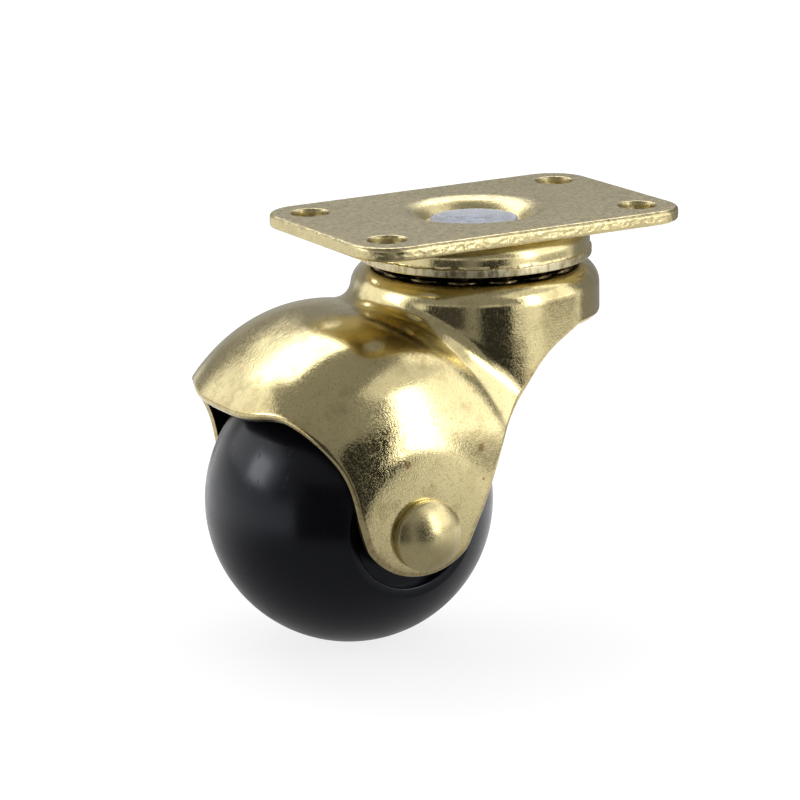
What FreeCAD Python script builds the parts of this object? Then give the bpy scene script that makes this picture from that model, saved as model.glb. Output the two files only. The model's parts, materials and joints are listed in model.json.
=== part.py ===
import FreeCAD, Part
import math
import os

# A swivelling furniture castor: a black ball on an axle between the ears of a drawn steel hood,
# which turns on two rings of steel balls about a riveted kingpin under a bolt-on plate.
# Millimetres. The origin is the middle of the plate's upper face, on the swivel axis, with Z up.
# The axle lies along Y and the hood's nose points to -X.

# Top plate
plate_length = 63.8
plate_width = 42.2
plate_thickness = 2.4
plate_corner_radius = 7.2
plate_edge_radius = 0.7
bolt_margin_x = 6.9
bolt_margin_y = 7.6
bolt_hole_diameter = 6.6
bolt_hole_edge = 0.35
dish_mouth_radius = 10.7
dish_floor_radius = 8.6
dish_depth = 2.4
dish_mouth_edge = 1.4

# Kingpin
kingpin_diameter = 9.6
kingpin_head_radius = 7.7
kingpin_head_height = 0.9
kingpin_head_edge = 0.35
kingpin_tail_radius = 7.6
kingpin_tail_height = 2.2

# Swivel cap
cap_sheet = 1.4
cap_rim_height = 1.4
cap_rim_step = 0.3
cap_shoulder_radius = 2.6

# Ball races
upper_ball_diameter = 6.35
lower_ball_diameter = 3.175
race_groove_depth = 1.2
lower_race_sheet = 1.4
ball_spacing_play = 0.2

# Hood
hood_sheet = 1.6
turret_overhang = 1.3
turret_shoulder_radius = 4.0
turret_skirt_depth = 18.2
dome_fullness = 3.25
dome_bulge = 0.45
dome_dip = 1.05
ear_edge_radius = 1.2
crease_radius = 3.2
trim_edge_radius = 0.9

# Side outline of the hood, as (X, Z) from the axle: the lip from nose to ear, the ear's arc
# from its front corner through its tip to its rear corner, and the rear edge up to the turret
nose_rise = 23.4
lip_course = [(-22.4, 20.0), (-17.9, 17.0), (-14.2, 11.0), (-12.2, 3.5)]
ear_front = (-10.6, -1.7)
ear_tip = (-0.4, -7.4)
ear_rear = (8.5, -3.8)
rear_course = [(13.2, 5.7), (17.9, 14.0), (22.1, 19.2), (27.8, 26.2)]
skirt_start_x = 9.0

# Ball and axle
lead = 26.0
ball_diameter = 50.0
ball_hub_length = 49.2
ball_hub_radius = 7.0
ball_rim_radius = 12.1
ball_rim_edge = 0.8
ball_recess_radius = 10.5
ball_recess_depth = 1.4
axle_diameter = 8.0
axle_head_radius = 6.1
axle_head_band = 1.4
axle_head_crown = 2.5
axle_head_edge = 0.3

# Clearances
rivet_clearance = 0.03
ball_clearance = 0.05
channel_play = 0.6
swivel_bore_clearance = 0.6
swivel_gap = 1.25
wheel_bore_clearance = 0.08
wheel_side_clearance = 0.3
ball_front_gap = 4.2
ball_top_gap = 7.3

# Levels below the plate's upper face
plate_under = -plate_thickness
dish_floor = -dish_depth
dish_under = dish_floor - plate_thickness
upper_track = plate_under - cap_sheet
upper_ball_level = upper_track - ball_clearance - upper_ball_diameter / 2
groove_floor = upper_ball_level - upper_ball_diameter / 2 - ball_clearance
turret_top = groove_floor + race_groove_depth
cap_rim_floor = turret_top + swivel_gap
turret_under = turret_top - hood_sheet
lower_ball_level = turret_under - ball_clearance - lower_ball_diameter / 2
lower_track = lower_ball_level - lower_ball_diameter / 2 - ball_clearance
lower_race_under = lower_track - lower_race_sheet

# Radii about the swivel axis
kingpin_bore_radius = kingpin_diameter / 2 + rivet_clearance
swivel_bore_radius = kingpin_diameter / 2 + swivel_bore_clearance
seat_radius = dish_floor_radius + plate_thickness / 2
rise_radius = dish_mouth_radius + plate_thickness
upper_pitch_radius = seat_radius + cap_sheet + upper_ball_diameter / 2 + channel_play
cap_body_radius = upper_pitch_radius + upper_ball_diameter / 2 + channel_play + cap_sheet
cap_rim_radius = cap_body_radius + cap_rim_step
turret_radius = cap_rim_radius + turret_overhang
lower_pitch_radius = kingpin_tail_radius + lower_ball_diameter / 2
lower_rim_inside = lower_pitch_radius + lower_ball_diameter / 2 + channel_play
lower_race_radius = lower_rim_inside + lower_race_sheet

# The hood's form round the ball
ball_radius = ball_diameter / 2
ear_inner_face = ball_hub_length / 2 + wheel_side_clearance
ear_face = ear_inner_face + hood_sheet
dome_half_length = ball_radius + ball_front_gap + hood_sheet
dome_half_height = ball_radius + ball_top_gap + hood_sheet
axle_drop = dome_half_height + turret_shoulder_radius + dome_dip - turret_top
far = 2 * (plate_length + axle_drop)


def at(x, y, z):
    return FreeCAD.Vector(x, y, z)


def from_axle(point):
    """Place in the XZ plane of a point given from the axle."""
    return at(point[0] - lead, 0, point[1] - axle_drop)


def line(start, end):
    return Part.LineSegment(start, end).toShape()


def curve(points):
    """Smooth edge through the points."""
    spline = Part.BSplineCurve()
    spline.interpolate(points)
    return spline.toShape()


def level_edges(shape):
    """Edges that lie flat across Z."""
    return [edge for edge in shape.Edges if edge.BoundBox.ZLength < 1e-6 and not edge.Degenerated]


def rings(shape, radius, level):
    """Round edges of that radius at that level."""
    found = []
    for edge in level_edges(shape):
        same_radius = isinstance(edge.Curve, Part.Circle) and abs(edge.Curve.Radius - radius) < 1e-6
        if same_radius and abs(edge.CenterOfMass.z - level) < 1e-6:
            found.append(edge)
    return found


def rounded_corner(before, here, after, radius):
    """Start and end of the arc that rounds a corner, and the arc."""
    towards_before = (before - here).normalize()
    towards_after = (after - here).normalize()
    half_angle = towards_before.getAngle(towards_after) / 2
    set_back = radius / math.tan(half_angle)
    start = here + towards_before * set_back
    end = here + towards_after * set_back
    inward = (towards_before + towards_after).normalize()
    middle = here + inward * (radius / math.sin(half_angle) - radius)
    return start, end, Part.Arc(start, middle, end).toShape()


def turned(corners):
    """Solid turned about Z from a closed outline of (radius, level) or (radius, level, rounding) corners."""
    places = [at(corner[0], 0, corner[1]) for corner in corners]
    runs = []
    for index, corner in enumerate(corners):
        here = places[index]
        if len(corner) == 2:
            runs.append((here, here, None))
            continue
        after = places[(index + 1) % len(places)]
        runs.append(rounded_corner(places[index - 1], here, after, corner[2]))
    edges = []
    for index, (start, end, arc) in enumerate(runs):
        if arc is not None:
            edges.append(arc)
        next_start = runs[(index + 1) % len(runs)][0]
        edges.append(line(end, next_start))
    return Part.Face(Part.Wire(edges)).revolve(at(0, 0, 0), at(0, 0, 1), 360)


def through_hole(radius, x, y):
    return Part.makeCylinder(radius, 2 * far, at(x, y, -far))


def ball_ring(diameter, pitch_radius, level):
    """As many balls as the ring holds with a little play, each its own solid."""
    count = int(2 * math.pi * pitch_radius / (diameter + ball_spacing_play))
    balls = []
    for index in range(count):
        angle = 2 * math.pi * index / count
        centre = at(pitch_radius * math.cos(angle), pitch_radius * math.sin(angle), level)
        balls.append(Part.makeSphere(diameter / 2, centre))
    return Part.makeCompound(balls)


def on_axle(shape):
    """Takes a piece turned about Z to the axle."""
    shape.rotate(at(0, 0, 0), at(1, 0, 0), -90)
    shape.translate(from_axle((0, 0)))
    return shape


def make_top_plate():
    """Pressed plate: rounded slab with a dish for the kingpin's head and four bolt holes."""
    corner = at(-plate_length / 2, -plate_width / 2, plate_under)
    slab = Part.makeBox(plate_length, plate_width, plate_thickness, corner)
    uprights = [edge for edge in slab.Edges if edge.BoundBox.ZLength > plate_thickness / 2]
    slab = slab.makeFillet(plate_corner_radius, uprights)
    slab = slab.makeFillet(plate_edge_radius, level_edges(slab))
    boss = turned([(0, plate_under), (rise_radius, plate_under), (seat_radius, dish_under), (0, dish_under)])
    dish = turned([(0, plate_thickness), (dish_mouth_radius, plate_thickness), (dish_mouth_radius, 0),
                   (dish_floor_radius, dish_floor), (0, dish_floor)])
    plate = slab.fuse(boss).cut(dish).cut(through_hole(kingpin_bore_radius, 0, 0))
    for side_x in (-1, 1):
        for side_y in (-1, 1):
            x = side_x * (plate_length / 2 - bolt_margin_x)
            y = side_y * (plate_width / 2 - bolt_margin_y)
            plate = plate.cut(through_hole(bolt_hole_diameter / 2, x, y))
    plate = plate.removeSplitter()
    plate = plate.makeFillet(dish_mouth_edge, rings(plate, dish_mouth_radius, 0))
    return plate.makeFillet(bolt_hole_edge, rings(plate, bolt_hole_diameter / 2, 0))


def make_swivel_cap():
    """Pressed cup that nests under the plate's dish. The flat of its underside is the upper track."""
    rim_top = cap_rim_floor + cap_rim_height
    wall_inside = cap_body_radius - cap_sheet
    seat_under = dish_under - cap_sheet
    rim_edge = cap_rim_step / 2
    return turned([(kingpin_bore_radius, dish_under), (seat_radius, dish_under), (rise_radius, plate_under),
                   (cap_body_radius, plate_under, cap_shoulder_radius), (cap_body_radius, rim_top),
                   (cap_rim_radius, rim_top, rim_edge), (cap_rim_radius, cap_rim_floor, rim_edge),
                   (wall_inside, cap_rim_floor), (wall_inside, upper_track, cap_shoulder_radius - cap_sheet),
                   (rise_radius + cap_sheet / 2, upper_track), (seat_radius + cap_sheet / 2, seat_under),
                   (kingpin_bore_radius, seat_under)])


def make_kingpin():
    """Rivet with a flat head in the plate's dish and a rounded tail under the lower race."""
    shank = kingpin_diameter / 2
    head_top = dish_floor + kingpin_head_height
    tail_floor = lower_race_under - kingpin_tail_height
    return turned([(0, head_top), (kingpin_head_radius, head_top, kingpin_head_edge),
                   (kingpin_head_radius, dish_floor), (shank, dish_floor), (shank, lower_race_under),
                   (kingpin_tail_radius, lower_race_under),
                   (kingpin_tail_radius, tail_floor, kingpin_tail_height / 2), (0, tail_floor)])


def make_lower_race():
    """Dished washer whose rim keeps the small balls in."""
    return turned([(kingpin_bore_radius, lower_track), (lower_rim_inside, lower_track, channel_play),
                   (lower_rim_inside, lower_ball_level), (lower_race_radius, lower_ball_level),
                   (lower_race_radius, lower_race_under, lower_race_sheet / 2),
                   (kingpin_bore_radius, lower_race_under)])


def dome_form(inset):
    """Full barrel about the axle, stretched in height. Its flat ends are the ear faces."""
    half_length = dome_half_length - inset
    half_width = ear_face + dome_bulge - inset
    face = ear_face - inset
    face_radius = half_length * (1 - (face / half_width) ** dome_fullness) ** (1 / dome_fullness)
    edge_angle = math.atan2(face, face_radius)
    steps = 16
    profile = []
    for step in range(steps + 1):
        angle = edge_angle * (2 * step / steps - 1)
        outward = (math.cos(angle) / half_length) ** dome_fullness
        sideways = (abs(math.sin(angle)) / half_width) ** dome_fullness
        reach = (outward + sideways) ** (-1 / dome_fullness)
        profile.append(at(reach * math.cos(angle), 0, reach * math.sin(angle)))
    near_centre = at(0, 0, -face)
    far_centre = at(0, 0, face)
    outline = Part.Wire([line(near_centre, profile[0]), curve(profile), line(profile[-1], far_centre),
                         line(far_centre, near_centre)])
    barrel = Part.Face(outline).revolve(at(0, 0, 0), at(0, 0, 1), 360)
    barrel = barrel.makeFillet(ear_edge_radius, level_edges(barrel))
    barrel.rotate(at(0, 0, 0), at(1, 0, 0), -90)
    stretch = FreeCAD.Matrix()
    stretch.scale(1, 1, (dome_half_height - inset) / half_length)
    barrel = barrel.transformGeometry(stretch)
    barrel.translate(from_axle((0, 0)))
    return barrel


def hood_form(inset):
    """Dome and turret drum run together with a soft crease, moved in by inset, with the ball groove."""
    wall_radius = turret_radius - inset
    top = turret_top - inset
    drum = turned([(0, top), (wall_radius, top, turret_shoulder_radius - inset),
                   (wall_radius, -far), (0, -far)])
    form = dome_form(inset).fuse(drum)
    creases = []
    for edge in form.Edges:
        middle = edge.valueAt((edge.FirstParameter + edge.LastParameter) / 2)
        on_wall = abs(math.hypot(middle.x, middle.y) - wall_radius) < 1e-3
        if on_wall and edge.BoundBox.ZLength > hood_sheet and edge.BoundBox.XLength > hood_sheet:
            creases.append(edge)
    form = form.makeFillet(crease_radius + inset, creases)
    groove_radius = upper_ball_diameter / 2 + ball_clearance + inset
    return form.cut(Part.makeTorus(upper_pitch_radius, groove_radius, at(0, 0, upper_ball_level)))


def make_trim():
    """Block that the hood is trimmed to: all that lies above the lip, the ears and the rear edge."""
    nose = from_axle((-dome_half_length - hood_sheet, nose_rise))
    skirt_start = at(skirt_start_x, 0, -turret_skirt_depth)
    skirt_end = at(far, 0, -turret_skirt_depth)
    rear_top = at(far, 0, far)
    nose_top = at(nose.x, 0, far)
    ear_corners = [from_axle(point) for point in (ear_front, ear_tip, ear_rear)]
    lip = curve([nose] + [from_axle(point) for point in lip_course] + [ear_corners[0]])
    ear = Part.Arc(*ear_corners).toShape()
    rear = curve([ear_corners[2]] + [from_axle(point) for point in rear_course] + [skirt_start])
    outline = Part.Wire([lip, ear, rear, line(skirt_start, skirt_end), line(skirt_end, rear_top),
                         line(rear_top, nose_top), line(nose_top, nose)])
    block = Part.Face(outline).extrude(at(0, 2 * far, 0))
    block.translate(at(0, -far, 0))
    return block


def make_hood():
    """One drawn sheet: the outer form less the same form one sheet in, trimmed, with rounded trim edges."""
    outer = hood_form(0)
    trim = make_trim()
    hood = outer.cut(hood_form(hood_sheet)).common(trim)
    trim_edges = []
    for edge in hood.Edges:
        middle = Part.Vertex(edge.valueAt((edge.FirstParameter + edge.LastParameter) / 2))
        on_skin = middle.distToShape(outer.Shells[0])[0] < 1e-3
        if on_skin and middle.distToShape(trim.Shells[0])[0] < 1e-3:
            trim_edges.append(edge)
    hood = hood.makeFillet(trim_edge_radius, trim_edges)
    hood = hood.cut(through_hole(swivel_bore_radius, 0, 0))
    return hood.cut(on_axle(through_hole(axle_diameter / 2 + rivet_clearance, 0, 0)))


def make_ball_wheel():
    """Moulded ball with a flat rim, a recess and a hub on each side."""
    rim = math.sqrt(ball_radius ** 2 - ball_rim_radius ** 2)
    floor = rim - ball_recess_depth
    hub = ball_hub_length / 2
    ball = Part.makeSphere(ball_radius).common(Part.makeCylinder(ball_radius, 2 * rim, at(0, 0, -rim)))
    ball = ball.makeFillet(ball_rim_edge, level_edges(ball))
    for side in (-1, 1):
        ball = ball.cut(Part.makeCylinder(ball_recess_radius, far, at(0, 0, side * floor), at(0, 0, side)))
    ball = ball.fuse(Part.makeCylinder(ball_hub_radius, 2 * hub, at(0, 0, -hub)))
    ball = ball.cut(through_hole(axle_diameter / 2 + wheel_bore_clearance, 0, 0))
    return on_axle(ball.removeSplitter())


def make_axle():
    """Pin with a domed head riveted against each ear."""
    crown = ear_face + axle_head_band + axle_head_crown
    crown_radius = (axle_head_radius ** 2 + axle_head_crown ** 2) / (2 * axle_head_crown)
    pin = Part.makeCylinder(axle_diameter / 2, 2 * ear_face, at(0, 0, -ear_face))
    for side in (-1, 1):
        head = Part.makeCylinder(axle_head_radius, far, at(0, 0, side * ear_face), at(0, 0, side))
        dome = Part.makeSphere(crown_radius, at(0, 0, side * (crown - crown_radius)))
        head = head.common(dome)
        crown_start = rings(head, axle_head_radius, side * (ear_face + axle_head_band))
        pin = pin.fuse(head.makeFillet(axle_head_edge, crown_start))
    return on_axle(pin.removeSplitter())


pieces = {
    "top_plate": make_top_plate(),
    "swivel_cap": make_swivel_cap(),
    "upper_race_balls": ball_ring(upper_ball_diameter, upper_pitch_radius, upper_ball_level),
    "hood": make_hood(),
    "lower_race_balls": ball_ring(lower_ball_diameter, lower_pitch_radius, lower_ball_level),
    "lower_race": make_lower_race(),
    "kingpin": make_kingpin(),
    "ball_wheel": make_ball_wheel(),
    "axle": make_axle(),
}

os.makedirs("parts", exist_ok=True)
for name, shape in pieces.items():
    shape.exportStep(f"parts/{name}.step")
    print(name, len(shape.Solids), shape.isValid(), round(shape.Volume, 1))
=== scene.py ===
import bmesh
import bpy
import json
import math
import numpy as np
from mathutils import Matrix, Vector, kdtree, noise


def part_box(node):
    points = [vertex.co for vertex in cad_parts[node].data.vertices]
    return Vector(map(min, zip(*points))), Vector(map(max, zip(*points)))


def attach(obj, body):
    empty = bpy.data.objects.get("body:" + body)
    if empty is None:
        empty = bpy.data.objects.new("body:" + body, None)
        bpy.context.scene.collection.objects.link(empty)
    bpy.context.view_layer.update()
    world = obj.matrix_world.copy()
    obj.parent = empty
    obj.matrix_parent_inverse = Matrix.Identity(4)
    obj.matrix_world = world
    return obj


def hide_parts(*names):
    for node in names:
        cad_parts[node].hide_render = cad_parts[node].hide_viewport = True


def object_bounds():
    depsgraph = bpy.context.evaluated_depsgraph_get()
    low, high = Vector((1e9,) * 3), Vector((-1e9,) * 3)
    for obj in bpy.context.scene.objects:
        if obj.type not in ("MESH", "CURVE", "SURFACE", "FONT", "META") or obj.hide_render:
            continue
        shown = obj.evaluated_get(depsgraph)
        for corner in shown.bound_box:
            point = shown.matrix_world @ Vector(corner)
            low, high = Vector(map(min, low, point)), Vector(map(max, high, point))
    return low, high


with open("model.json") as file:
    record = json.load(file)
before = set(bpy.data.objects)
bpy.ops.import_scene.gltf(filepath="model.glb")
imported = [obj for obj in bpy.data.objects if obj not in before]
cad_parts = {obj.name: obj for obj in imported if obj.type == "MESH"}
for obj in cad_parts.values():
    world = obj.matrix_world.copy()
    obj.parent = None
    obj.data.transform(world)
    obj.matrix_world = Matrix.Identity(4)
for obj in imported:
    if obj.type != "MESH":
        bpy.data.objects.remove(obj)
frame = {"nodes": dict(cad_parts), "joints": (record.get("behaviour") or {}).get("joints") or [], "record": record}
cad_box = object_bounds()

# Top plate
# A steel blank, pressed with a dish for the kingpin's head and four punched bolt holes, then brass plated.
# Four screws hold it under a leg. Its flats are dull from the rolling mill and its sheared side is rough.
plate_low, plate_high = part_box("top_plate")
bolt_pattern = next(mount["dims"] for mount in frame["record"]["mounts"] if mount["name"] == "plate_bolts")
plate_sheet = 0.0024
plate_corner = 0.0072
plate_edge = 0.0007
plate_shear_depth = 0.00009
plate_corner_steps = 30
plate_step = 0.00024
chips_per_metre = 1500
nicks_per_metre = 520
hole_sides = 72
dish_sides = 144
bolt_spacing_x = bolt_pattern["spacing_x_mm"] / 1000
bolt_spacing_y = bolt_pattern["spacing_y_mm"] / 1000
bolt_hole = bolt_pattern["hole_r_mm"] / 1000
bolt_hole_edge = 0.00035
dish_mouth = 0.0107
dish_floor_radius = 0.0086
dish_depth = 0.0024
dish_mouth_edge = 0.005
seat_radius = dish_floor_radius + plate_sheet / 2
rise_radius = dish_mouth + plate_sheet
kingpin_hole = 0.00483
flat_margin = 0.0003
brass_tone = (0.62, 0.53, 0.28, 1)
brass_shade = (0.37, 0.30, 0.145, 1)
tarnish_tone = (0.27, 0.165, 0.06, 1)
mill_shade = (0.17, 0.15, 0.10, 1)
brass_patch_size = 0.009
brass_wave_size = 0.0035
torn_depth = 0.00005


def node(tree, kind, inputs=None, **settings):
    """New shader node with its settings, and its sockets set or linked."""
    made = tree.nodes.new(kind)
    for name, value in settings.items():
        setattr(made, name, value)
    for name, value in (inputs or {}).items():
        if isinstance(value, bpy.types.NodeSocket):
            tree.links.new(value, made.inputs[name])
        else:
            made.inputs[name].default_value = value
    return made


def new_finish(name):
    """Material with a plain shader. Gives the material, its tree, its shader and the place on the piece."""
    material = bpy.data.materials.new(name)
    material.use_nodes = True
    tree = material.node_tree
    place = node(tree, "ShaderNodeTexCoord").outputs["Object"]
    return material, tree, tree.nodes["Principled BSDF"], place


def grain(tree, place, size, detail=3, roughness=0.5):
    """Cloudy noise with patches of about that size in metres."""
    inputs = {"Vector": place, "Scale": 1 / size, "Detail": detail, "Roughness": roughness}
    return node(tree, "ShaderNodeTexNoise", inputs).outputs["Fac"]


def remap(tree, value, low, high, to_low, to_high):
    """Soft change of a value's range."""
    inputs = {"Value": value, "From Min": low, "From Max": high, "To Min": to_low, "To Max": to_high}
    return node(tree, "ShaderNodeMapRange", inputs, interpolation_type="SMOOTHSTEP").outputs["Result"]


def sums(tree, operation, first, second):
    """Arithmetic on two values."""
    return node(tree, "ShaderNodeMath", {0: first, 1: second}, operation=operation).outputs[0]


def blend(tree, share, first, second):
    """Colour between two colours."""
    return node(tree, "ShaderNodeMix", {0: share, 6: first, 7: second}, data_type="RGBA").outputs[2]


def stretched(tree, place, across):
    """Place squeezed so that noise in it draws out into streaks."""
    return node(tree, "ShaderNodeMapping", {"Vector": place, "Scale": across}).outputs["Vector"]


def raised(tree, height, depth, under=None):
    """Bump of that depth in metres, over another one if there is one."""
    inputs = {"Height": height, "Strength": 1, "Distance": depth}
    if under is not None:
        inputs["Normal"] = under
    return node(tree, "ShaderNodeBump", inputs).outputs["Normal"]


def brass(name, gloss, grain_size, grain_depth, wave_depth):
    """Bright brass plating over lightly grained steel. Gives its parts, for a piece to add its own marks."""
    material, tree, shader, place = new_finish(name)
    shader.inputs["Metallic"].default_value = 1
    patches = grain(tree, place, brass_patch_size, 4, 0.6)
    fine = grain(tree, place, grain_size, 3, 0.6)
    specks = remap(tree, grain(tree, place, grain_size * 0.9, 2, 0.5), 0.30, 0.43, 0.55, 0)
    share = sums(tree, "MAXIMUM", remap(tree, patches, 0.45, 0.75, 0, 0.35), specks)
    colour = blend(tree, share, brass_tone, brass_shade)
    roughness = remap(tree, fine, 0.3, 0.7, gloss - 0.07, gloss + 0.10)
    normal = raised(tree, grain(tree, place, brass_wave_size, 2, 0.5), wave_depth)
    normal = raised(tree, fine, grain_depth, normal)
    return {"material": material, "tree": tree, "shader": shader, "place": place, "colour": colour,
            "roughness": roughness, "normal": normal}


def dress(parts):
    """Links a finish's colour, roughness and normal to its shader, and gives the material."""
    shader = parts["shader"]
    for part, socket in (("colour", "Base Color"), ("roughness", "Roughness"), ("normal", "Normal")):
        parts["tree"].links.new(parts[part], shader.inputs[socket])
    return parts["material"]


def strip(mesh, rows, closed=False):
    """Adds rows of points, each a closed loop, with faces between them. Gives the rows of vertices."""
    made = [[mesh.verts.new(point) for point in row] for row in rows]
    pairs = list(zip(made, made[1:]))
    if closed:
        pairs.append((made[-1], made[0]))
    for upper, lower in pairs:
        for index in range(len(upper)):
            after = (index + 1) % len(upper)
            mesh.faces.new((upper[index], upper[after], lower[after], lower[index]))
    return made


def fill_flat(mesh, loops):
    """Fills the flat between an outer loop and the loops inside it."""
    edges = []
    for loop in loops:
        for index in range(len(loop)):
            edges.append(mesh.edges.get((loop[index - 1], loop[index])))
    bmesh.ops.triangle_fill(mesh, edges=edges, use_beauty=True)


def new_piece(name, mesh, material, sharp_angle=35):
    """Makes the object of a finished mesh."""
    bmesh.ops.remove_doubles(mesh, verts=mesh.verts, dist=1e-8)
    bmesh.ops.recalc_face_normals(mesh, faces=mesh.faces)
    data = bpy.data.meshes.new(name)
    mesh.to_mesh(data)
    mesh.free()
    data.shade_smooth()
    data.set_sharp_from_angle(angle=math.radians(sharp_angle))
    data.materials.append(material)
    piece = bpy.data.objects.new(name, data)
    bpy.context.scene.collection.objects.link(piece)
    return piece


def bend(centre, radius, start, end, steps):
    """Points of an arc in a section, with its angles in degrees."""
    angles = np.radians(np.linspace(start, end, steps + 1))
    return [(centre[0] + radius * math.cos(a), centre[1] + radius * math.sin(a)) for a in angles]


def ring(radius, level, count, x=0, y=0):
    """Points of a level circle."""
    angles = np.linspace(0, 2 * math.pi, count, endpoint=False)
    return np.stack([x + radius * np.cos(angles), y + radius * np.sin(angles), np.full(count, level)], 1)


def plate_loop(inset, level):
    """Points round the plate's outline, moved in by inset."""
    points = []
    for corner, (side_x, side_y) in enumerate(((1, 1), (-1, 1), (-1, -1), (1, -1))):
        centre = np.array((side_x * (plate_high.x - plate_corner), side_y * (plate_high.y - plate_corner)))
        for angle in np.radians(90 * corner + np.linspace(0, 90, plate_corner_steps + 1)):
            outward = np.array((math.cos(angle), math.sin(angle)))
            points.append(centre + outward * (plate_corner - inset))
        runs = (2 * (plate_high.x - plate_corner), 2 * (plate_high.y - plate_corner))
        run = runs[corner % 2]
        along = np.array((-outward[1], outward[0]))
        start = points[-1]
        for share in np.linspace(0, 1, int(run / plate_step), endpoint=False)[1:]:
            points.append(start + along * run * share)
    return np.array([(x, y, level) for x, y in points])


mesh = bmesh.new()
edge_rows = [(plate_edge + flat_margin, 0)]
edge_rows += [(plate_edge - r, z) for r, z in bend((0, -plate_edge), plate_edge, 90, 0, 6)]
for level in np.linspace(-plate_edge, plate_edge - plate_sheet, 8)[1:-1]:
    edge_rows.append((0, level))
edge_rows += [(plate_edge - r, z) for r, z in bend((0, plate_edge - plate_sheet), plate_edge, 0, -90, 6)]
edge_rows.append((plate_edge + flat_margin, -plate_sheet))
rows = []
for inset, level in edge_rows:
    row = plate_loop(inset, level)
    side_share = max(0, 1 - inset / plate_edge * 1.6)
    for point in row:
        chips = noise.fractal(Vector(point) * chips_per_metre, 0.7, 2.0, 3)
        chips += 0.6 * noise.noise(Vector(point) * nicks_per_metre)
        outward = Vector((point[0] / plate_high.x ** 2, point[1] / plate_high.y ** 2, 0)).normalized()
        point[:2] -= np.array(outward[:2]) * side_share * plate_shear_depth * (0.7 + chips)
    rows.append(row)
edge_strip = strip(mesh, rows)
top_loops = [edge_strip[0]]
under_loops = [edge_strip[-1]]
lower_edge = bolt_hole_edge / 2
hole_section = [(bolt_hole + bolt_hole_edge + flat_margin, 0)]
hole_section += bend((bolt_hole + bolt_hole_edge, -bolt_hole_edge), bolt_hole_edge, 90, 180, 5)
hole_section += bend((bolt_hole + lower_edge, lower_edge - plate_sheet), lower_edge, 180, 270, 4)
hole_section.append((bolt_hole + lower_edge + flat_margin, -plate_sheet))
for side_x in (-1, 1):
    for side_y in (-1, 1):
        hole_x = side_x * bolt_spacing_x / 2
        hole_y = side_y * bolt_spacing_y / 2
        hole_strip = strip(mesh, [ring(r, z, hole_sides, hole_x, hole_y) for r, z in hole_section])
        top_loops.append(hole_strip[0])
        under_loops.append(hole_strip[-1])
dish_slope = math.degrees(math.atan2(dish_depth, dish_mouth - dish_floor_radius))
mouth_set_back = dish_mouth_edge * math.tan(math.radians(dish_slope / 2))
mouth_radius = dish_mouth + mouth_set_back
dish_section = [(mouth_radius + flat_margin, 0)]
dish_section += bend((mouth_radius, -dish_mouth_edge), dish_mouth_edge, 90, 90 + dish_slope, 8)
dish_section += [(dish_floor_radius, -dish_depth), (kingpin_hole, -dish_depth),
                 (kingpin_hole, -dish_depth - plate_sheet), (seat_radius, -dish_depth - plate_sheet),
                 (rise_radius, -plate_sheet), (rise_radius + flat_margin, -plate_sheet)]
dish_strip = strip(mesh, [ring(r, z, dish_sides) for r, z in dish_section])
fill_flat(mesh, top_loops + [dish_strip[0]])
fill_flat(mesh, under_loops + [dish_strip[-1]])

plate_finish = brass("plate_brass", 0.40, 0.00028, 0.000012, 0.00001)
tree, place = plate_finish["tree"], plate_finish["place"]
mill_streaks = grain(tree, stretched(tree, place, (0.22, 1, 1)), 0.0005, 4, 0.65)
mottle = grain(tree, stretched(tree, place, (1, 0.4, 1)), 0.0006, 5, 0.75)
mill_share = sums(tree, "MULTIPLY", remap(tree, mill_streaks, 0.30, 0.70, 0.45, 1),
                  remap(tree, mottle, 0.34, 0.64, 0.30, 1))
plate_level = node(tree, "ShaderNodeSeparateXYZ", {"Vector": place}).outputs["Z"]
on_side = remap(tree, plate_level, -plate_edge, -plate_edge / 4, 1, 0)
on_flat = remap(tree, on_side, 0, 1, 1, 0.25)
mill_on_flat = sums(tree, "MULTIPLY", mill_share, on_flat)
plate_finish["colour"] = blend(tree, mill_on_flat, plate_finish["colour"], mill_shade)
plate_finish["roughness"] = remap(tree, mill_streaks, 0.3, 0.7, 0.24, 0.38)
plate_finish["normal"] = raised(tree, mill_streaks, 0.000005, plate_finish["normal"])
torn = sums(tree, "MULTIPLY", on_side, grain(tree, place, 0.0007, 4, 0.6))
plate_finish["normal"] = raised(tree, torn, torn_depth, plate_finish["normal"])
pressed_plate = new_piece("pressed_plate", mesh, dress(plate_finish))
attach(pressed_plate, "base")
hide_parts("top_plate")

# Swivel cap
# A cup pressed from thinner steel, riveted up against the plate with its flat as the upper ball track.
# It is brass plated, and its turned-out rim was sheared, so that band is paler and scored.
cap_low, cap_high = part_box("swivel_cap")
cap_sheet = 0.0014
cap_rim_height = 0.0014
cap_rim = cap_high.x
cap_rim_overhang = 0.0003
cap_body = cap_rim - cap_rim_overhang
cap_shoulder = 0.0026
cap_rim_edge = 0.00018
cap_rim_top = cap_low.z + cap_rim_height
cap_track = cap_high.z - cap_sheet
cap_score_depth = 0.00003
cap_rim_margin = 0.0001
cap_rim_lift = 0.00022
cap_step = 0.0005
cap_sides = 540
ragged_depth = 0.0007
sheared_dark = (0.36, 0.29, 0.15, 1)
sheared_light = (0.60, 0.54, 0.36, 1)


def turned_rows(section, count):
    """Rows of points for a section turned about Z."""
    return [ring(r, z, count) for r, z in section]


def divided(section, step):
    """Section with points added so that no run is longer than step."""
    points = [section[0]]
    for start, end in zip(section, section[1:]):
        parts = max(1, math.ceil(math.dist(start, end) / step))
        for share in range(1, parts + 1):
            points.append(tuple(a + (b - a) * share / parts for a, b in zip(start, end)))
    return points


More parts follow.
